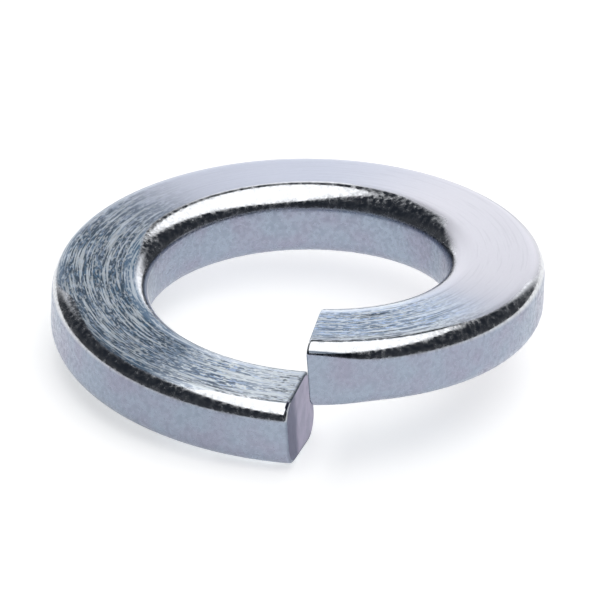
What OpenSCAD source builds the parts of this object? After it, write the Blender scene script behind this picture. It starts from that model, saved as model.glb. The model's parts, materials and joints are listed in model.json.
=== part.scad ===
// Spring lock washer for a 12 mm screw.
// One turn of keystone wire, cut through at a slant and left open as a left-hand coil.
// The bore runs along Z, the lower end touches the XY plane and the gap faces -Y.

/* [Wire section] */
// Diameter of the bore
bore_d = 12.6; // [10.5:0.1:15]
// Width of the wire, from the bore to the rim
wire_w = 4.1; // [3.4:0.05:6]
// Thickness of the wire halfway across its width
wire_t = 3; // [2.4:0.05:4]
// How much thicker the wire is at the bore than at the rim
keystone = 0.45; // [0:0.05:0.8]

/* [Rounded corners] */
// How far the two corners at the rim reach in across the flat
rim_corner_w = 0.75; // [0.5:0.05:1]
// How far the two corners at the rim reach down the wall
rim_corner_h = 0.75; // [0.4:0.05:0.85]
// How far the two corners at the bore reach across the flat
bore_corner_w = 1.15; // [0.5:0.05:1.3]
// How far the two corners at the bore reach down the wall
bore_corner_h = 1; // [0.4:0.05:1.1]

/* [Coil] */
// Rise of the wire from the lower end to the upper end
end_rise = 2.95; // [0.5:0.05:4]

/* [Cut ends] */
// Gap between the ends, along the middle of the wire
gap_w = 0.6; // [0.3:0.05:3]
// Slant of the cut away from a radius, seen from above
cut_slant = 16; // [0:1:30]
// Lean of the cut away from upright
cut_lean = 5.5; // [0:0.5:14]
// Rounding of the edges around each cut end
cut_edge = 0.12; // [0.04:0.02:0.24]
// Share of the rim's corners left at the upper end, where the shear squeezed them sharp
end_corner = 0.45; // [0.4:0.05:1]
// Length of wire along which they sharpen
end_run = 2.5; // [0.5:0.5:6]

/* [Hidden] */

// Steps around the coil, in each rounded corner and in each rounded end
coil_steps = 142;
corner_steps = 6;
end_steps = 3;
// Facets of the cylinder that bores the coil
bore_facets = 144;
// Skin left inside the bore for that cylinder to cut away
bore_stock = 0.01;
// Share of half the thickness that a corner may take
corner_share = 0.85;
// Direction of the gap, and how far the bore's cylinder runs past the wire
gap_azimuth = 270;
bore_overrun = 1;

bore_r = bore_d / 2;
rim_r = bore_r + wire_w;
mid_r = bore_r + wire_w / 2;
gap_angle = arc_angle(gap_w);
coil_angle = 360 - gap_angle;
low_end = gap_azimuth - gap_angle / 2;
run_share = arc_angle(end_run) / coil_angle;

// Angle that a length takes up along the middle of the wire
function arc_angle(length) = length / mid_r * 180 / PI;

// Half the thickness of the keystone section at radius r
function half_t(r) = (wire_t + keystone * (mid_r - r) / wire_w) / 2;

// Where the bore's cylinder meets the corner that starts inside it
bore_arc_w = bore_corner_w + bore_stock;
meet_angle = acos(1 - bore_stock / bore_arc_w);
bore_arc_h = min(bore_corner_h / (1 - sin(meet_angle)), corner_share * half_t(bore_r));
rim_arc_h = min(rim_corner_h, corner_share * half_t(rim_r));

// Rounded corner from the wall at radius r, turned up onto the flat; side is 1 at the rim, -1 at the bore
function corner(r, side, w, h) = [
    for (i = [0:corner_steps])
        let (a = 90 * i / corner_steps, x = r - side * w * (1 - cos(a)))
        [x, half_t(x) - h * (1 - sin(a))]
];

function reversed(list) = [for (i = [len(list) - 1:-1:0]) list[i]];
function mirrored(list) = [for (p = reversed(list)) [p[0], -p[1]]];

// Half of the section as [radius, height], from the wall at the rim over the flat to the wall at the bore
flat_middle = [[mid_r, half_t(mid_r)]];
bore_corner = corner(bore_r - bore_stock, -1, bore_arc_w, bore_arc_h);
function half_section(w, h) = concat(corner(rim_r, 1, w, h), flat_middle, reversed(bore_corner));

// What is left of the rim's corners at a share of the way round: all of them, but less near the upper end
function ease(u) = let (v = min(max(u, 0), 1)) v * v * (3 - 2 * v);
function corner_left(way) = 1 - (1 - end_corner) * ease(1 - (1 - way) / run_share);

// Section of the wire, counter-clockwise; the squeezed corner underneath is narrower too
function section(way) =
    let (
        left = corner_left(way),
        h = rim_arc_h * left
    )
    concat(half_section(rim_corner_w, h), mirrored(half_section(rim_corner_w * left, h)));

// A point of the section drawn in for the rounded edge, from inset 1 at the cut face to 0 behind the edge
function drawn_in(p, inset) = [
    mid_r + (p[0] - mid_r) * (1 - 2 * inset * cut_edge / wire_w),
    p[1] * (1 - 2 * inset * cut_edge / wire_t)
];

// A point of the section carried round the coil: clockwise and upward, with the slant and lean of the cut
function on_coil(p, turn) =
    let (
        shift = (p[0] - mid_r) * tan(cut_slant) + p[1] * tan(cut_lean),
        travel = turn + shift / p[0] * 180 / PI,
        azimuth = low_end - travel
    )
    [p[0] * cos(azimuth), p[0] * sin(azimuth), p[1] + end_rise * travel / coil_angle];

// Stations as [share of the way round, angle of the edge's rounding], 0 at a cut face and 90 behind its edge
edge_angles = [for (i = [0:end_steps - 1]) 90 * i / end_steps];
stations = concat(
    [for (a = edge_angles) [0, a]],
    [for (i = [0:coil_steps]) [i / coil_steps, 90]],
    [for (a = reversed(edge_angles)) [1, a]]
);

// The section at a station; the coil itself starts and ends behind the rounded edges
edge_angle = arc_angle(cut_edge);
function station_turn(way, a) = way * coil_angle + (1 - 2 * way) * edge_angle * (1 - cos(a));
rings = [
    for (s = stations)
        [for (p = section(s[0])) on_coil(drawn_in(p, 1 - sin(s[1])), station_turn(s[0], s[1]))]
];
ring_size = len(rings[0]);
last_ring = len(stations) - 1;
caps = [on_coil([mid_r, 0], 0), on_coil([mid_r, 0], coil_angle)];
points = concat([for (ring = rings) each ring], caps);
ground = min([for (p = points) p[2]]);

function skin(i, j) =
    let (
        a = i * ring_size + j,
        b = i * ring_size + (j + 1) % ring_size
    )
    [[a, b, b + ring_size], [a, b + ring_size, a + ring_size]];

faces = concat(
    [for (i = [0:last_ring - 1]) for (j = [0:ring_size - 1]) each skin(i, j)],
    [for (j = [0:ring_size - 1]) [len(points) - 2, (j + 1) % ring_size, j]],
    [for (j = [0:ring_size - 1])
        [len(points) - 1, last_ring * ring_size + j, last_ring * ring_size + (j + 1) % ring_size]]
);

// The coiled wire, cut open, with its rounded corners and ends
module coil() {
    polyhedron(points, faces, convexity = 6);
}

// The true round bore
module bore() {
    translate([0, 0, ground - bore_overrun])
        cylinder(r = bore_r, h = end_rise + 2 * wire_t + 2 * bore_overrun, $fn = bore_facets);
}

module spring_washer() {
    color([0.74, 0.77, 0.82])
        translate([0, 0, -ground])
            difference() {
                coil();
                bore();
            }
}

spring_washer();
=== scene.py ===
# Spring lock washer in bright zinc plate, on a white table under one long oval softbox.
import json
import math

import bmesh
import bpy
from mathutils import Matrix, Vector


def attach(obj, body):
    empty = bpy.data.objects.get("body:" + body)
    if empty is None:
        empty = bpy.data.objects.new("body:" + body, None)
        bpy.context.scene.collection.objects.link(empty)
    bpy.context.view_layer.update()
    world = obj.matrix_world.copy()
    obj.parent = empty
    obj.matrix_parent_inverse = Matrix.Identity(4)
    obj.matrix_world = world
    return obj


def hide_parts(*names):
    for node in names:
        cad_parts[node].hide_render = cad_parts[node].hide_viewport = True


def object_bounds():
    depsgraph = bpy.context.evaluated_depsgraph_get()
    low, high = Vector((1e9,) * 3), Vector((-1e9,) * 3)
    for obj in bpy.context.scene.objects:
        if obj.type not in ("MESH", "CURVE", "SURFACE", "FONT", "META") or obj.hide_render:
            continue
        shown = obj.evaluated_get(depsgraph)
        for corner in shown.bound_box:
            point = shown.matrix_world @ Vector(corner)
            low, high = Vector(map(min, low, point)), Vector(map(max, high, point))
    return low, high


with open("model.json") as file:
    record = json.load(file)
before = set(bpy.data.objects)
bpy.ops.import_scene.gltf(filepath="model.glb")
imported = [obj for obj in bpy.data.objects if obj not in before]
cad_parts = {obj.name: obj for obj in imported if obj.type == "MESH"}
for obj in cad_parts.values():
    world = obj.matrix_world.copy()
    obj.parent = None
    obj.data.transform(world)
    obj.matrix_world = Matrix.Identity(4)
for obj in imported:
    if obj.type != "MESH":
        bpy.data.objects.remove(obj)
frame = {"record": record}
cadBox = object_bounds()
mm = 0.001
print("frame loaded")


# Numbers that travel through a node tree, so that a rule reads as plain sums

class Reading:
    def __init__(self, tree, socket):
        self.tree = tree
        self.socket = socket

    def worked(self, operation, *others):
        node = self.tree.nodes.new("ShaderNodeMath")
        node.operation = operation
        for slot, part in zip(node.inputs, (self,) + others):
            feed(self.tree, part, slot)
        return Reading(self.tree, node.outputs[0])

    def __add__(self, other):
        return self.worked("ADD", other)

    def __radd__(self, other):
        return self.worked("ADD", other)

    def __sub__(self, other):
        return self.worked("SUBTRACT", other)

    def __rsub__(self, other):
        return self.worked("MULTIPLY_ADD", -1.0, other)

    def __mul__(self, other):
        return self.worked("MULTIPLY", other)

    def __rmul__(self, other):
        return self.worked("MULTIPLY", other)

    def __truediv__(self, other):
        return self.worked("DIVIDE", other)


def feed(tree, source, target):
    if isinstance(source, Reading):
        source = source.socket
    if isinstance(source, bpy.types.NodeSocket):
        tree.links.new(source, target)
    else:
        target.default_value = source


def ramp(reading, start, end, smooth=False):    # 0 at start, 1 at end, held outside them
    node = reading.tree.nodes.new("ShaderNodeMapRange")
    node.interpolation_type = "SMOOTHSTEP" if smooth else "LINEAR"
    for name, part in (("Value", reading), ("From Min", start), ("From Max", end)):
        feed(reading.tree, part, node.inputs[name])
    return Reading(reading.tree, node.outputs["Result"])


def hump(reading, rise, top, hold, fall):       # 0 up to rise, 1 from top to hold, 0 again from fall
    return ramp(reading, rise, top, True) * ramp(reading, fall, hold, True)


def larger(first, second):
    return first.worked("MAXIMUM", second)


def vectorOf(tree, x, y, z):
    node = tree.nodes.new("ShaderNodeCombineXYZ")
    for slot, part in zip(node.inputs, (x, y, z)):
        feed(tree, part, slot)
    return node.outputs[0]


def partsOf(tree, vector):
    node = tree.nodes.new("ShaderNodeSeparateXYZ")
    tree.links.new(vector, node.inputs[0])
    return [Reading(tree, out) for out in node.outputs]


def addSockets(tree, inputs, outputs):
    for kind, name, value in inputs:
        socket = tree.interface.new_socket(name=name, in_out="INPUT", socket_type="NodeSocket" + kind)
        if value is not None:
            socket.default_value = value
    for kind, name in outputs:
        tree.interface.new_socket(name=name, in_out="OUTPUT", socket_type="NodeSocket" + kind)


# The washer: one turn of keystone wire, swept round and up, cut through at a slant

boreMount = next(m for m in frame["record"]["mounts"] if m["name"] == "bore")
boreRadius = boreMount["dims"]["r_mm"] * mm
rimRadius = cadBox[1].x

washerSizes = {
    "Bore Radius": boreRadius,
    "Wire Width": rimRadius - boreRadius,
    "Wire Thickness": 3.0 * mm,
    "Keystone": 0.45 * mm,             # how much thicker at the bore than at the rim
    "Rim Corner Width": 0.75 * mm,
    "Rim Corner Height": 0.75 * mm,
    "Bore Corner Width": 1.15 * mm,
    "Bore Corner Height": 1.0 * mm,
    "End Rise": 2.95 * mm,
    "Gap Width": 0.6 * mm,
    "Cut Slant": math.radians(16),
    "Cut Lean": math.radians(5.5),
    "Cut Edge": 0.12 * mm,
    "End Corner": 0.45,                # share of the rim's corners left at the upper end
    "End Run": 2.5 * mm,
}
washerSteps = {
    "Coil Steps": 600,
    "Round Steps": 6,
    "Cap Steps": 12,
    "Wall Steps": 4,
    "Corner Steps": 16,
    "Flat Steps": 12,
}
gapAzimuth = math.radians(270)
weldDistance = 0.0001 * mm
cutFaceFrom = 0.98                     # inset of the section from which a face is part of the cut


def cornerCurve(t, width, height):      # quarter of an ellipse: t runs from the wall to the flat
    angle = t * (math.pi / 2)
    across = width * (1 - angle.worked("COSINE"))
    depth = height * (1 - angle.worked("SINE"))
    return across, depth


def makeWasherTree():
    tree = bpy.data.node_groups.new("coiledWasher", "GeometryNodeTree")
    lengths = [("Float", name, value) for name, value in washerSizes.items()]
    steps = [("Int", name, value) for name, value in washerSteps.items()]
    materials = [("Material", "Plate Finish", None), ("Material", "End Finish", None)]
    addSockets(tree, lengths + steps + materials, [("Geometry", "Geometry")])
    entry = tree.nodes.new("NodeGroupInput")
    size = {name: Reading(tree, entry.outputs[name]) for name in [*washerSizes, *washerSteps]}

    # counts along the wire and round its section
    capSteps, roundSteps, coilSteps = size["Cap Steps"], size["Round Steps"], size["Coil Steps"]
    wallSteps, cornerSteps, flatSteps = size["Wall Steps"], size["Corner Steps"], size["Flat Steps"]
    alongSteps = coilSteps + 2 * (capSteps + roundSteps)
    halfSteps = 2 * (wallSteps + cornerSteps) + flatSteps
    grid = tree.nodes.new("GeometryNodeMeshGrid")
    feed(tree, 1.0, grid.inputs["Size X"])
    feed(tree, 1.0, grid.inputs["Size Y"])
    feed(tree, alongSteps + 1, grid.inputs["Vertices X"])
    feed(tree, 2 * halfSteps + 1, grid.inputs["Vertices Y"])
    position = tree.nodes.new("GeometryNodeInputPosition").outputs[0]
    gridX, gridY, _ = partsOf(tree, position)
    station = (gridX + 0.5) * alongSteps
    turned = (gridY + 0.5) * 2                          # 0..1 over the top, 1..2 back underneath
    below = turned.worked("GREATER_THAN", 1.0)
    step = (1 - (turned - 1).worked("ABSOLUTE")) * halfSteps

    # stretches of the half section, from the middle of the rim wall to the middle of the bore wall
    rimWall = ramp(step, 0.0, wallSteps)
    rimCorner = ramp(step, wallSteps, wallSteps + cornerSteps)
    flat = ramp(step, wallSteps + cornerSteps, wallSteps + cornerSteps + flatSteps)
    boreCorner = ramp(step, halfSteps - wallSteps - cornerSteps, halfSteps - wallSteps)
    boreWall = ramp(step, halfSteps - wallSteps, halfSteps)

    # the section's radius and height, with the rim's corners sharper near the upper end
    midRadius = size["Bore Radius"] + size["Wire Width"] * 0.5
    rim = size["Bore Radius"] + size["Wire Width"]
    gapAngle = size["Gap Width"] / midRadius
    coilAngle = 2 * math.pi - gapAngle
    wireLength = coilAngle * midRadius
    coil = ramp(station, capSteps + roundSteps, capSteps + roundSteps + coilSteps)
    sharpened = ramp(coil, 1 - size["End Run"] / wireLength, 1.0, True)
    cornerLeft = 1 - (1 - size["End Corner"]) * sharpened
    rimWidth = size["Rim Corner Width"] * (1 - below * (1 - cornerLeft))
    rimIn, rimDown = cornerCurve(rimCorner, rimWidth, size["Rim Corner Height"] * cornerLeft)
    boreIn, boreDown = cornerCurve(1 - boreCorner, size["Bore Corner Width"], size["Bore Corner Height"])
    flatWidth = size["Wire Width"] - rimWidth - size["Bore Corner Width"]
    radius = rim - rimIn - flat * flatWidth - size["Bore Corner Width"] + boreIn
    thickness = size["Wire Thickness"] + size["Keystone"] * (midRadius - radius) / size["Wire Width"]
    height = (thickness * 0.5 - rimDown - boreDown) * rimWall * (1 - boreWall) * (1 - 2 * below)

    # along the wire: flat caps, rounded edges of the cut, then the coil
    lowCap = ramp(station, 0.0, capSteps)
    lowRound = ramp(station, capSteps, capSteps + roundSteps)
    highRound = ramp(station, alongSteps - capSteps - roundSteps, alongSteps - capSteps)
    highCap = ramp(station, alongSteps, alongSteps - capSteps)
    edgeAngle = lowRound * (1 - highRound) * (math.pi / 2)      # 0 at a cut face
    inset = 1 - edgeAngle.worked("SINE")
    cutEdge = size["Cut Edge"]
    along = coil * wireLength + (1 - 2 * coil) * cutEdge * (1 - edgeAngle.worked("COSINE"))
    cap = lowCap * highCap
    radius = midRadius + (radius - midRadius) * cap * (1 - 2 * inset * cutEdge / size["Wire Width"])
    height = height * cap * (1 - 2 * inset * cutEdge / size["Wire Thickness"])

    # round the coil, each station set at the slant and lean of the cut
    slant = size["Cut Slant"].worked("TANGENT")
    lean = size["Cut Lean"].worked("TANGENT")
    shift = (radius - midRadius) * slant + height * lean
    travel = along / midRadius + shift / radius
    azimuth = gapAzimuth - gapAngle * 0.5 - travel
    rise = height + size["End Rise"] * travel / coilAngle
    place = vectorOf(tree, radius * azimuth.worked("COSINE"), radius * azimuth.worked("SINE"), rise)

    def store(geometry, kind, name, value):
        node = tree.nodes.new("GeometryNodeStoreNamedAttribute")
        node.data_type = kind
        node.domain = "POINT"
        node.inputs["Name"].default_value = name
        tree.links.new(geometry, node.inputs["Geometry"])
        feed(tree, value, node.inputs["Value"])
        return node.outputs[0]

    # where each point lies on the wire, for the finishes: way is 0 at the lower end and 1 at the upper
    # one, lay is 0 on the walls and 1 on the flats, and cut is 1 on the cut faces
    wire = vectorOf(tree, travel * midRadius, radius, height)
    geometry = store(grid.outputs["Mesh"], "FLOAT_VECTOR", "wire", wire)
    geometry = store(geometry, "FLOAT", "way", travel / coilAngle)
    geometry = store(geometry, "FLOAT", "lay", rimCorner * (1 - boreCorner))
    geometry = store(geometry, "FLOAT", "cut", inset)
    bend = tree.nodes.new("GeometryNodeSetPosition")
    tree.links.new(geometry, bend.inputs["Geometry"])
    tree.links.new(place, bend.inputs["Position"])
    weld = tree.nodes.new("GeometryNodeMergeByDistance")
    weld.inputs["Distance"].default_value = weldDistance
    tree.links.new(bend.outputs[0], weld.inputs["Geometry"])

    # down onto the table
    lowest = tree.nodes.new("GeometryNodeAttributeStatistic")
    tree.links.new(weld.outputs[0], lowest.inputs["Geometry"])
    _, _, heights = partsOf(tree, position)
    feed(tree, heights, lowest.inputs["Attribute"])
    drop = tree.nodes.new("GeometryNodeSetPosition")
    tree.links.new(weld.outputs[0], drop.inputs["Geometry"])
    down = -1 * Reading(tree, lowest.outputs["Min"])
    tree.links.new(vectorOf(tree, 0.0, 0.0, down), drop.inputs["Offset"])

    smooth = tree.nodes.new("GeometryNodeSetShadeSmooth")
    tree.links.new(drop.outputs[0], smooth.inputs["Geometry"])
    realize = tree.nodes.new("GeometryNodeRealizeInstances")
    tree.links.new(smooth.outputs[0], realize.inputs["Geometry"])
    plate = tree.nodes.new("GeometryNodeSetMaterial")
    tree.links.new(realize.outputs[0], plate.inputs["Geometry"])
    tree.links.new(entry.outputs["Plate Finish"], plate.inputs["Material"])
    ends = tree.nodes.new("GeometryNodeSetMaterial")
    tree.links.new(plate.outputs[0], ends.inputs["Geometry"])
    tree.links.new(entry.outputs["End Finish"], ends.inputs["Material"])
    cutMark = tree.nodes.new("GeometryNodeInputNamedAttribute")
    cutMark.data_type = "FLOAT"
    cutMark.inputs["Name"].default_value = "cut"
    onCut = Reading(tree, cutMark.outputs["Attribute"]).worked("GREATER_THAN", cutFaceFrom)
    feed(tree, onCut, ends.inputs["Selection"])
    leave = tree.nodes.new("NodeGroupOutput")
    tree.links.new(ends.outputs[0], leave.inputs[0])
    return tree


def makeWasher(finish, endFinish):
    tree = makeWasherTree()
    blank = bpy.data.objects.new("washerBlank", bpy.data.meshes.new("washerBlank"))
    bpy.context.scene.collection.objects.link(blank)
    modifier = blank.modifiers.new("coiledWasher", "NODES")
    modifier.node_group = tree
    values = {**washerSizes, **washerSteps, "Plate Finish": finish, "End Finish": endFinish}
    for item in tree.interface.items_tree:
        if item.in_out == "INPUT":
            modifier[item.identifier] = values[item.name]
    evaluated = blank.evaluated_get(bpy.context.evaluated_depsgraph_get())
    mesh = bpy.data.meshes.new_from_object(evaluated)
    bpy.data.objects.remove(blank)
    mesh.name = "springWasher"
    work = bmesh.new()
    work.from_mesh(mesh)
    bmesh.ops.recalc_face_normals(work, faces=work.faces)
    if work.calc_volume(signed=True) < 0:
        bmesh.ops.reverse_faces(work, faces=work.faces)
    print("washer swept:", len(work.faces), "faces")
    work.to_mesh(mesh)
    work.free()
    washer = bpy.data.objects.new("springWasher", mesh)
    bpy.context.scene.collection.objects.link(washer)
    return washer


# Finishes. Scratches are measured in millimetres on the wire: along it, across it and up it

scratchNoise = {
    "detail": 2.0,
    "roughness": 0.6,
    "edge": 0.72,                      # noise above this is a scratch, at no cover
    "edgeDrop": 0.4,                   # how far that drops at full cover
}
mottleNoise = {
    "detail": 3.0,
    "peelDetail": 2.0,
}


def makeScratchGroup():
    tree = bpy.data.node_groups.new("rolledScratches", "ShaderNodeTree")
    inputs = [
        ("Vector", "Wire", None),
        ("Float", "Length", 0.4),
        ("Float", "Width", 0.05),
        ("Float", "Cover", 0.4),
        ("Float", "Softness", 0.08),
        ("Float", "Shift", 0.0),
    ]
    addSockets(tree, inputs, [("Float", "Mask"), ("Float", "Height")])
    entry = tree.nodes.new("NodeGroupInput")
    leave = tree.nodes.new("NodeGroupOutput")
    along, across, up = partsOf(tree, entry.outputs["Wire"])
    sizes = [name for kind, name, _ in inputs if kind == "Float"]
    value = {name: Reading(tree, entry.outputs[name]) for name in sizes}
    x = along / mm / value["Length"] + value["Shift"]
    y = across / mm / value["Width"]
    z = up / mm / value["Width"]
    noise = tree.nodes.new("ShaderNodeTexNoise")
    noise.inputs["Scale"].default_value = 1.0
    noise.inputs["Detail"].default_value = scratchNoise["detail"]
    noise.inputs["Roughness"].default_value = scratchNoise["roughness"]
    tree.links.new(vectorOf(tree, x, y, z), noise.inputs["Vector"])
    grain = Reading(tree, noise.outputs[0])
    edge = scratchNoise["edge"] - value["Cover"] * scratchNoise["edgeDrop"]
    mask = ramp(grain, edge, edge + value["Softness"], True)
    feed(tree, mask, leave.inputs["Mask"])
    feed(tree, 1 - mask, leave.inputs["Height"])
    return tree


def makeMottleGroup():
    tree = bpy.data.node_groups.new("platingMottle", "ShaderNodeTree")
    inputs = [("Vector", "Position", None), ("Float", "Grain", 1.0), ("Float", "Peel", 0.25)]
    addSockets(tree, inputs, [("Float", "Mottle"), ("Float", "Height")])
    entry = tree.nodes.new("NodeGroupInput")
    leave = tree.nodes.new("NodeGroupOutput")
    x, y, z = partsOf(tree, entry.outputs["Position"])

    def cloud(size, detail, slot):
        noise = tree.nodes.new("ShaderNodeTexNoise")
        noise.inputs["Scale"].default_value = 1.0
        noise.inputs["Detail"].default_value = detail
        scaled = [part / mm / size for part in (x, y, z)]
        tree.links.new(vectorOf(tree, *scaled), noise.inputs["Vector"])
        feed(tree, noise.outputs[0], leave.inputs[slot])

    cloud(Reading(tree, entry.outputs["Grain"]), mottleNoise["detail"], "Mottle")
    cloud(Reading(tree, entry.outputs["Peel"]), mottleNoise["peelDetail"], "Height")
    return tree


def placeGroup(tree, group, links, values):
    node = tree.nodes.new("ShaderNodeGroup")
    node.node_tree = group
    for name, source in links.items():
        tree.links.new(source, node.inputs[name])
    for name, value in values.items():
        node.inputs[name].default_value = value
    return {out.name: Reading(tree, out) for out in node.outputs}


def blendColour(tree, amount, first, second):
    node = tree.nodes.new("ShaderNodeMix")
    node.data_type = "RGBA"
    feed(tree, amount, node.inputs["Factor"])
    # the node's colour sockets share their names with others, so they go by number
    for slot, colour in ((node.inputs[6], first), (node.inputs[7], second)):
        if isinstance(colour, tuple):
            slot.default_value = (*colour, 1.0)
        else:
            tree.links.new(colour, slot)
    return node.outputs[2]


zincLook = {
    "pale": (0.51, 0.54, 0.64),         # flats at the back
    "bright": (0.685, 0.68, 0.74),      # flats at the right, lighter: a painted highlight
    "edge": (0.60, 0.66, 0.76),         # flats near both ends
    "cold": (0.47, 0.61, 0.85),         # their middle, bluer
    "coldFromBore": (0.7 * mm, 1.5 * mm),
    "coldFromRim": (0.8 * mm, 1.3 * mm),
    "tip": (0.74, 0.82, 0.93),          # flats at the lower end's very tip
    "wornAndShaded": (0.06, 0.14, 0.24),         # flats at the left: their wear, darkened further with painted shade
    "wornShadeClouds": 0.25,                 # how much less of that wear and painted shade between the plate's clouds
    "corner": (0.66, 0.675, 0.70),
    "wall": (0.33, 0.38, 0.465),
    "wallViolet": (0.33, 0.34, 0.43),
    "markAndShade": (0.022, 0.05, 0.085),       # dark scratches, and painted shade on the dark lines, the walls and the cut's edge
    "glint": (0.86, 0.92, 0.96),        # bright scratches: painted glints
    "wallShade": 0.1,                   # of the dark colour, in a zone of the walls
    "speckShade": 0.07,                 # and in their specks
    "cutShade": 0.3,                    # on the cut's rounded edge
    "cutShadeOnFlat": 0.5,              # and more where it meets the flats
    "cutFade": (0.05, 0.5),
    "flatMetal": 0.65,                  # the flats scatter a little light, as worn plate does
    "speckScatter": 0.1,                # and so do dull specks in the polished corners
    "wallRoughness": 0.22,
    "cornerRoughness": 0.09,
    "flatRoughness": 0.3,
    "markRoughness": 0.15,              # this and the next two are added
    "speckRoughness": 0.22,
    "tipRoughness": 0.22,
    "cloudSize": 1.6,                   # in millimetres, as is the next
    "speckSize": 0.2,
    "peelHeight": 0.003 * mm,
    "flatPeel": 0.4,                    # share of it left on the flats
    "scratchHeight": 0.01 * mm,
    "brush": 0.4,                       # anisotropy, along the wire
}

# Where the plate's noise counts as a cloud, as a dull speck and as a whole stretch of a broken line
plateNoise = {
    "cloud": (0.35, 0.7),
    "speck": (0.4, 0.75),
    "unbroken": (0.3, 0.5),
}

# Places along the wire, in shares of the way from the lower end to the upper one. A zone comes in
# between its first two numbers and goes out between its last two
plateZones = {
    "wornAndShaded": (0.05, 0.14, 0.30, 0.43),
    # bright is the zone of the flats' painted highlight at the right
    "bright": (0.52, 0.66, 0.80, 0.90),
    "shade": (0.02, 0.07, 0.13, 0.21),
    "rimTurn": (0.30, 0.36, 0.68, 0.74),
}
plateEnds = {                           # from 0 at the first number to 1 at the second
    "low": (0.15, 0.06),
    "tip": (0.065, 0.015),
    "high": (0.84, 0.93),
    "sharp": (0.965, 0.985),
}

# The flats' finish runs on over parts of the corners, where rolling wore them too: zones along the
# wire, each with how much further it goes there
overBore = [
    (0.28, 0.36, 0.68, 0.705, -1.0),    # the corner stays polished at the back
    (0.54, 0.59, 0.67, 0.70, 0.3),
    (0.60, 0.65, 0.68, 0.705, 0.45),
    (0.68, 0.71, 0.78, 0.84, 0.6),
]
overRim = [
    (0.05, 0.085, 0.15, 0.22, 1.0),
    (0.215, 0.255, 0.78, 0.81, 1.6),
    (0.78, 0.81, 0.85, 0.93, 0.75),
]

# Places across the section, where lay is 0 on the walls and 1 on the flats
plateLays = {
    "corner": (0.08, 0.3),              # the corners' polish comes in
    "flat": (0.97, 1.0),                # the flats' finish comes in,
    "flatReach": (0.38, 0.26),          # and how far that is drawn down a corner
    "marked": (0.95, 0.98),             # dark scratches come in,
    "markedReach": 0.4,                 # and how far that is drawn down the rim's corner where worn
    "beside": (0.86, 0.90, 0.94, 0.97),     # a dark line of painted shade beside the flats,
    "turn": (0.60, 0.68, 0.74, 0.82),       # one on the turn of the corners
    "under": (0.08, 0.14, 0.3, 0.4),        # and one under the corner where the upper end is sharp
}
# how strong the painted shade of each dark line is
lineShows = {
    "beside": 0.8,
    "boreTurn": 0.6,
    "rimTurn": 0.3,
    "under": 0.9,
}

# Scratches run round the wire, their length and width in millimetres
plateScratches = {
    "fleck": {"Length": 0.36, "Width": 0.11, "Cover": 0.7},                 # short and dark
    "line": {"Length": 3.2, "Width": 0.12, "Cover": 0.45, "Shift": 7.0},    # long and dark
    "glint": {"Length": 0.32, "Width": 0.1, "Cover": 0.5, "Shift": 31.0},   # short and bright: painted glints
    "shine": {"Length": 2.6, "Width": 0.11, "Cover": 0.5, "Shift": 53.0},   # long and bright: painted glints
    "blotch": {"Length": 0.6, "Width": 0.3, "Cover": 0.55, "Shift": 3.0},   # broad and dark, at the tip
}
scratchShows = {                        # on the worn flats, at the lower end, the upper end and anywhere
    "fleck": (0.9, 0.8, 0.5, 0.0),
    "line": (0.5, 0.6, 0.9, 0.06),
    "glint": (0.35, 0.95, 0.6, 0.05),
    "shine": (0.5, 0.8, 0.7, 0.05),
}
tipShows = {
    "blotch": 0.75,
    "clear": 0.7,                       # how much fewer the dark scratches are there
}


def newMaterial(name):
    material = bpy.data.materials.new(name)
    material.use_nodes = True
    tree = material.node_tree
    shader = tree.nodes["Principled BSDF"]
    return material, tree, shader


def attributeOf(tree, name):
    node = tree.nodes.new("ShaderNodeAttribute")
    node.attribute_name = name
    return node.outputs


def addBump(tree, height, distance, under=None):
    node = tree.nodes.new("ShaderNodeBump")
    node.inputs["Distance"].default_value = distance
    feed(tree, height, node.inputs["Height"])
    if under is not None:
        tree.links.new(under, node.inputs["Normal"])
    return node.outputs[0]


def zonesOf(way, zones):
    total = 0.0
    for rise, top, hold, fall, amount in zones:
        total = total + hump(way, rise, top, hold, fall) * amount
    return total


def readPlate(tree):            # how much a point belongs to each part of the washer
    wire = attributeOf(tree, "wire")["Vector"]
    way, lay, cut = [Reading(tree, attributeOf(tree, name)["Fac"]) for name in ("way", "lay", "cut")]
    _, across, up = partsOf(tree, wire)
    atBore = across.worked("LESS_THAN", (boreRadius + rimRadius) / 2)
    spot = {"wire": wire, "lay": lay, "cut": cut, "across": across, "bore": atBore, "rim": 1 - atBore}
    for name, shares in plateZones.items():
        spot[name] = hump(way, *shares)
    for name, (start, full) in plateEnds.items():
        spot[name] = ramp(way, start, full, True)
    spot["ends"] = spot["low"] + spot["high"]
    spread = (1 + zonesOf(way, overBore)) * spot["bore"] + zonesOf(way, overRim) * spot["rim"]
    start, full = plateLays["flat"]
    startReach, fullReach = plateLays["flatReach"]
    spot["flat"] = ramp(lay, start - spread * startReach, full - spread * fullReach, True)
    start, full = plateLays["corner"]
    spot["corner"] = ramp(lay, start, full, True) * up.worked("GREATER_THAN", 0.0)
    return spot


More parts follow.
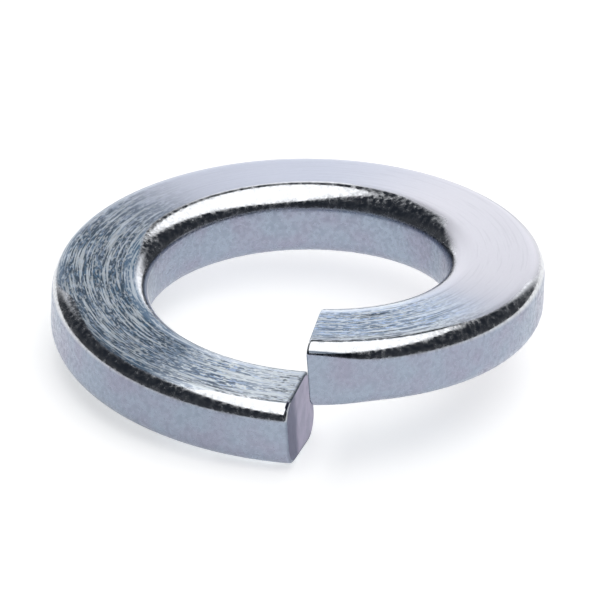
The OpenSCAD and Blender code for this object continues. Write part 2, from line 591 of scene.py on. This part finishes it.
def scratchPlate(tree, spot, scratchGroup):     # dark scratches, bright ones and the flecks' depth
    scratch = {}
    for name, sizes in plateScratches.items():
        scratch[name] = placeGroup(tree, scratchGroup, {"Wire": spot["wire"]}, sizes)

    def share(name, low):
        onWorn, onLow, onHigh, anywhere = scratchShows[name]
        return larger(spot["wornAndShaded"] * onWorn, low * onLow) + spot["high"] * onHigh + anywhere

    lowButTip = spot["low"] - spot["tip"] * tipShows["clear"]
    fleckShare = share("fleck", lowButTip)
    flecks = scratch["fleck"]["Mask"] * fleckShare
    lines = scratch["line"]["Mask"] * share("line", lowButTip)
    start, full = plateLays["marked"]
    reach = spot["wornAndShaded"] * spot["rim"] * plateLays["markedReach"]
    marked = ramp(spot["lay"], start - reach, full, True)
    blotches = scratch["blotch"]["Mask"] * spot["tip"] * spot["flat"] * tipShows["blotch"]
    dark = larger(larger(flecks, lines) * marked, blotches)
    glints = scratch["glint"]["Mask"] * share("glint", spot["low"])
    shines = scratch["shine"]["Mask"] * share("shine", spot["low"])
    bright = larger(glints, shines) * spot["flat"]
    depth = scratch["fleck"]["Height"] * spot["flat"] * fleckShare
    return dark, bright, depth


def paintShadeLines(spot, unbroken):      # fine dark lines of painted shade along the corners
    beside = hump(spot["lay"], *plateLays["beside"]) * spot["rim"] * spot["ends"] * unbroken
    turnShare = spot["bore"] * spot["ends"] * lineShows["boreTurn"]
    turnShare = turnShare + spot["rim"] * spot["rimTurn"] * lineShows["rimTurn"]
    turn = hump(spot["lay"], *plateLays["turn"]) * turnShare
    under = hump(spot["lay"], *plateLays["under"]) * spot["corner"] * spot["rim"] * spot["sharp"]
    return larger(larger(beside * lineShows["beside"], turn), under * lineShows["under"])


def colourPlate(tree, spot, cloud, speck, dark, bright):
    look = zincLook
    boreSide, boreFull = look["coldFromBore"]
    rimSide, rimFull = look["coldFromRim"]
    boreSpan = ramp(spot["across"], boreRadius + boreSide, boreRadius + boreFull, True)
    rimSpan = ramp(spot["across"], rimRadius - rimSide, rimRadius - rimFull, True)
    # painted highlight on the flats at the right
    flats = blendColour(tree, spot["bright"], look["pale"], look["bright"])
    flats = blendColour(tree, spot["ends"], flats, look["edge"])
    flats = blendColour(tree, spot["ends"] * boreSpan * rimSpan, flats, look["cold"])
    flats = blendColour(tree, spot["tip"], flats, look["tip"])
    # the left flats take the colour of their wear and of painted shade, lighter between the clouds
    wornShadeShare = spot["wornAndShaded"] * (1 - look["wornShadeClouds"] * (1 - cloud))
    flats = blendColour(tree, wornShadeShare, flats, look["wornAndShaded"])
    walls = blendColour(tree, cloud, look["wall"], look["wallViolet"])
    shade = speck * look["speckShade"] + spot["shade"] * look["wallShade"]
    walls = blendColour(tree, shade, walls, look["markAndShade"])
    colour = blendColour(tree, spot["corner"], walls, look["corner"])
    colour = blendColour(tree, spot["flat"], colour, flats)
    colour = blendColour(tree, dark, colour, look["markAndShade"])
    colour = blendColour(tree, bright, colour, look["glint"])
    start, full = look["cutFade"]
    cutShare = ramp(spot["cut"], start, full) * (look["cutShade"] + spot["flat"] * look["cutShadeOnFlat"])
    return blendColour(tree, cutShare, colour, look["markAndShade"])


def makeZincPlate(scratchGroup, mottleGroup):
    look = zincLook
    material, tree, shader = newMaterial("zincPlate")
    place = tree.nodes.new("ShaderNodeTexCoord").outputs["Object"]
    sizes = {"Grain": look["cloudSize"], "Peel": look["speckSize"]}
    mottle = placeGroup(tree, mottleGroup, {"Position": place}, sizes)
    cloud = ramp(mottle["Mottle"], *plateNoise["cloud"], True)
    speck = ramp(mottle["Height"], *plateNoise["speck"])
    unbroken = ramp(mottle["Height"], *plateNoise["unbroken"])

    spot = readPlate(tree)
    dark, bright, depth = scratchPlate(tree, spot, scratchGroup)
    shadeLines = paintShadeLines(spot, unbroken)
    colour = colourPlate(tree, spot, cloud, speck, larger(dark, shadeLines), bright)
    tree.links.new(colour, shader.inputs["Base Color"])

    onFlat, onCorner = spot["flat"], spot["corner"]
    scatter = onFlat * (1 - look["flatMetal"]) + speck * onCorner * (1 - onFlat) * look["speckScatter"]
    feed(tree, 1 - scatter, shader.inputs["Metallic"])
    shader.inputs["Anisotropic"].default_value = look["brush"]
    tangent = tree.nodes.new("ShaderNodeTangent")
    tangent.direction_type = "RADIAL"
    tangent.axis = "Z"
    tree.links.new(tangent.outputs[0], shader.inputs["Tangent"])
    rough = look["wallRoughness"] - onCorner * (look["wallRoughness"] - look["cornerRoughness"])
    rough = rough + onFlat * (look["flatRoughness"] - look["cornerRoughness"])
    rough = rough + dark * look["markRoughness"] + speck * (1 - onFlat) * look["speckRoughness"]
    rough = rough + spot["tip"] * onFlat * look["tipRoughness"]
    feed(tree, rough, shader.inputs["Roughness"])
    peelShare = 1 - onFlat * (1 - look["flatPeel"])
    peel = addBump(tree, mottle["Height"] * peelShare, look["peelHeight"])
    scored = addBump(tree, depth, look["scratchHeight"], peel)
    tree.links.new(scored, shader.inputs["Normal"])
    return material


endLook = {
    "face": (0.37, 0.34, 0.46),         # torn metal with a faint violet plate
    "dull": (0.295, 0.285, 0.39),
    "dullNoise": (0.4, 0.65),
    "mottle": {"Grain": 0.7, "Peel": 0.15},
    "paintedDarkStrip": (0.095, 0.1, 0.18),    # dark strip beside the rim: a painted dark reflection
    "paintedDarkStripWidth": 1.5 * mm,
    "paintedDarkStripFade": (-0.35 * mm, 0.4 * mm),
    "paintedDarkStripWander": 0.5 * mm,        # its edge isn't straight
    "roughness": 0.38,
    "shear": {"Length": 1.5, "Width": 0.08, "Cover": 0.35},
    "shearRoughness": 0.08,
    "shearHeight": 0.006 * mm,
}


def makeCutFace(scratchGroup, mottleGroup):
    look = endLook
    material, tree, shader = newMaterial("shearedFace")
    place = tree.nodes.new("ShaderNodeTexCoord").outputs["Object"]
    mottle = placeGroup(tree, mottleGroup, {"Position": place}, look["mottle"])
    x, y, z = partsOf(tree, place)
    upright = vectorOf(tree, z, x, y)
    shear = placeGroup(tree, scratchGroup, {"Wire": upright}, look["shear"])
    _, across, _ = partsOf(tree, attributeOf(tree, "wire")["Vector"])
    inner = rimRadius - look["paintedDarkStripWidth"]
    start, full = look["paintedDarkStripFade"]
    wander = (mottle["Mottle"] - 0.5) * look["paintedDarkStripWander"]
    # the strip beside the rim, painted dark as a dark reflection
    paintedDarkStrip = ramp(across + wander, inner + start, inner + full, True)
    dulled = ramp(mottle["Mottle"], *look["dullNoise"], True)
    colour = blendColour(tree, dulled, look["face"], look["dull"])
    colour = blendColour(tree, paintedDarkStrip, colour, look["paintedDarkStrip"])
    tree.links.new(colour, shader.inputs["Base Color"])
    shader.inputs["Metallic"].default_value = 1.0
    feed(tree, look["roughness"] + shear["Mask"] * look["shearRoughness"], shader.inputs["Roughness"])
    bump = addBump(tree, shear["Height"], look["shearHeight"])
    tree.links.new(bump, shader.inputs["Normal"])
    return material


scratchGroup = makeScratchGroup()
mottleGroup = makeMottleGroup()
zincPlate = makeZincPlate(scratchGroup, mottleGroup)
shearedFace = makeCutFace(scratchGroup, mottleGroup)
print("finishes made")
washer = makeWasher(zincPlate, shearedFace)
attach(washer, "root")
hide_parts("spring_washer")
print("washer made")


# The table, lit by a lamp and the room

tableLook = {
    "size": 2.0,
    "colour": (0.8, 0.8, 0.8),
    "glow": 0.59,                   # seen by the camera and in the metal, lights nothing else
}


def makeTable():
    half = tableLook["size"] / 2
    mesh = bpy.data.meshes.new("table")
    corners = [(-half, -half, 0), (half, -half, 0), (half, half, 0), (-half, half, 0)]
    mesh.from_pydata(corners, [], [(0, 1, 2, 3)])
    material, tree, shader = newMaterial("whiteTable")
    shader.inputs["Base Color"].default_value = (*tableLook["colour"], 1)
    shader.inputs["Roughness"].default_value = 1.0
    shader.inputs["Specular IOR Level"].default_value = 0.0
    shader.inputs["Emission Color"].default_value = (1, 1, 1, 1)
    path = tree.nodes.new("ShaderNodeLightPath")
    seen = Reading(tree, path.outputs["Is Camera Ray"]) + Reading(tree, path.outputs["Is Glossy Ray"])
    seen = seen + Reading(tree, path.outputs["Is Transmission Ray"])
    feed(tree, seen * tableLook["glow"], shader.inputs["Emission Strength"])
    mesh.materials.append(material)
    table = bpy.data.objects.new("table", mesh)
    bpy.context.scene.collection.objects.link(table)


# Angles are in degrees: the camera's azimuth from the washer's front, the room's from straight ahead
# of the camera

cameraLook = {
    "azimuth": -4.14,
    "elevation": 27.49,
    "roll": 2.05,
    "distance": 0.8,
    "lens": 1136.3,
    "aim": (0.071 * mm, -0.51 * mm, 3.061 * mm),
}
softbox = {
    "middle": (0.078, 0.335, 0.503),   # metres to the right, away and up
    "across": 0.44,
    "deep": 1.266,
    "tilt": 31.2,                      # its far end is the higher one
    "yaw": 6.0,
    "radiance": 1.6,
}
room = {
    "dark": (0.02, 0.024, 0.032),
    "walls": (0.05, 0.053, 0.06),
    "wallsTop": (8.0, 26.0),
    "backdrop": (1.4, 1.41, 1.45),
    "backdropTop": (28.0, 35.0),       # elevations at which it starts to fade and has gone
    "backdropLeft": (26.0, 42.0),
    "backdropRight": (28.0, 44.0),
}


def makeSoftbox():
    lamp = bpy.data.lights.new("softbox", "AREA")
    lamp.shape = "ELLIPSE"
    lamp.size = softbox["across"]
    lamp.size_y = softbox["deep"]
    area = math.pi / 4 * lamp.size * lamp.size_y
    lamp.energy = softbox["radiance"] * math.pi * area
    turn = Matrix.Rotation(math.radians(cameraLook["azimuth"]), 4, "Z")
    yaw = Matrix.Rotation(-math.radians(softbox["yaw"]), 4, "Z")
    tilt = Matrix.Rotation(math.radians(softbox["tilt"]), 4, "X")
    holder = bpy.data.objects.new("softbox", lamp)
    holder.matrix_world = turn @ Matrix.Translation(softbox["middle"]) @ yaw @ tilt
    bpy.context.scene.collection.objects.link(holder)


def makeRoom():
    world = bpy.data.worlds.new("studioRoom")
    world.use_nodes = True
    tree = world.node_tree
    background = tree.nodes["Background"]
    turn = tree.nodes.new("ShaderNodeVectorRotate")
    turn.rotation_type = "Z_AXIS"
    turn.inputs["Angle"].default_value = -math.radians(cameraLook["azimuth"])
    tree.links.new(tree.nodes.new("ShaderNodeTexCoord").outputs["Generated"], turn.inputs["Vector"])
    x, y, z = partsOf(tree, turn.outputs[0])
    elevation = z.worked("ARCSINE") * (180 / math.pi)
    azimuth = x.worked("ARCTAN2", y) * (180 / math.pi)      # 0 straight ahead, positive to the right
    faded, gone = room["backdropTop"]
    top = ramp(elevation, gone, faded, True)
    leftEdge, leftEnd = room["backdropLeft"]
    rightEdge, rightEnd = room["backdropRight"]
    sides = hump(azimuth, -leftEnd, -leftEdge, rightEdge, rightEnd)
    wallsFaded, wallsGone = room["wallsTop"]
    colour = blendColour(tree, ramp(elevation, wallsGone, wallsFaded, True), room["dark"], room["walls"])
    colour = blendColour(tree, top * sides, colour, room["backdrop"])
    tree.links.new(colour, background.inputs["Color"])
    bpy.context.scene.world = world


def makeCamera():
    a = math.radians(cameraLook["azimuth"])
    e = math.radians(cameraLook["elevation"])
    roll = math.radians(cameraLook["roll"])
    back = Vector((math.sin(a) * math.cos(e), -math.cos(a) * math.cos(e), math.sin(e)))
    level = Vector((math.cos(a), math.sin(a), 0))
    above = back.cross(level)
    right = level * math.cos(roll) + above * math.sin(roll)
    up = back.cross(right)
    data = bpy.data.cameras.new("camera")
    data.lens = cameraLook["lens"]
    data.clip_start = 0.01
    data.clip_end = 10.0
    camera = bpy.data.objects.new("camera", data)
    spot = Vector(cameraLook["aim"]) + back * cameraLook["distance"]
    camera.matrix_world = Matrix.Translation(spot) @ Matrix((right, up, back)).transposed().to_4x4()
    bpy.context.scene.collection.objects.link(camera)
    bpy.context.scene.camera = camera


makeTable()
makeSoftbox()
makeRoom()
makeCamera()
bpy.context.scene.view_settings.view_transform = "Standard"
print("table, lamp and camera placed")

bpy.context.view_layer.update()
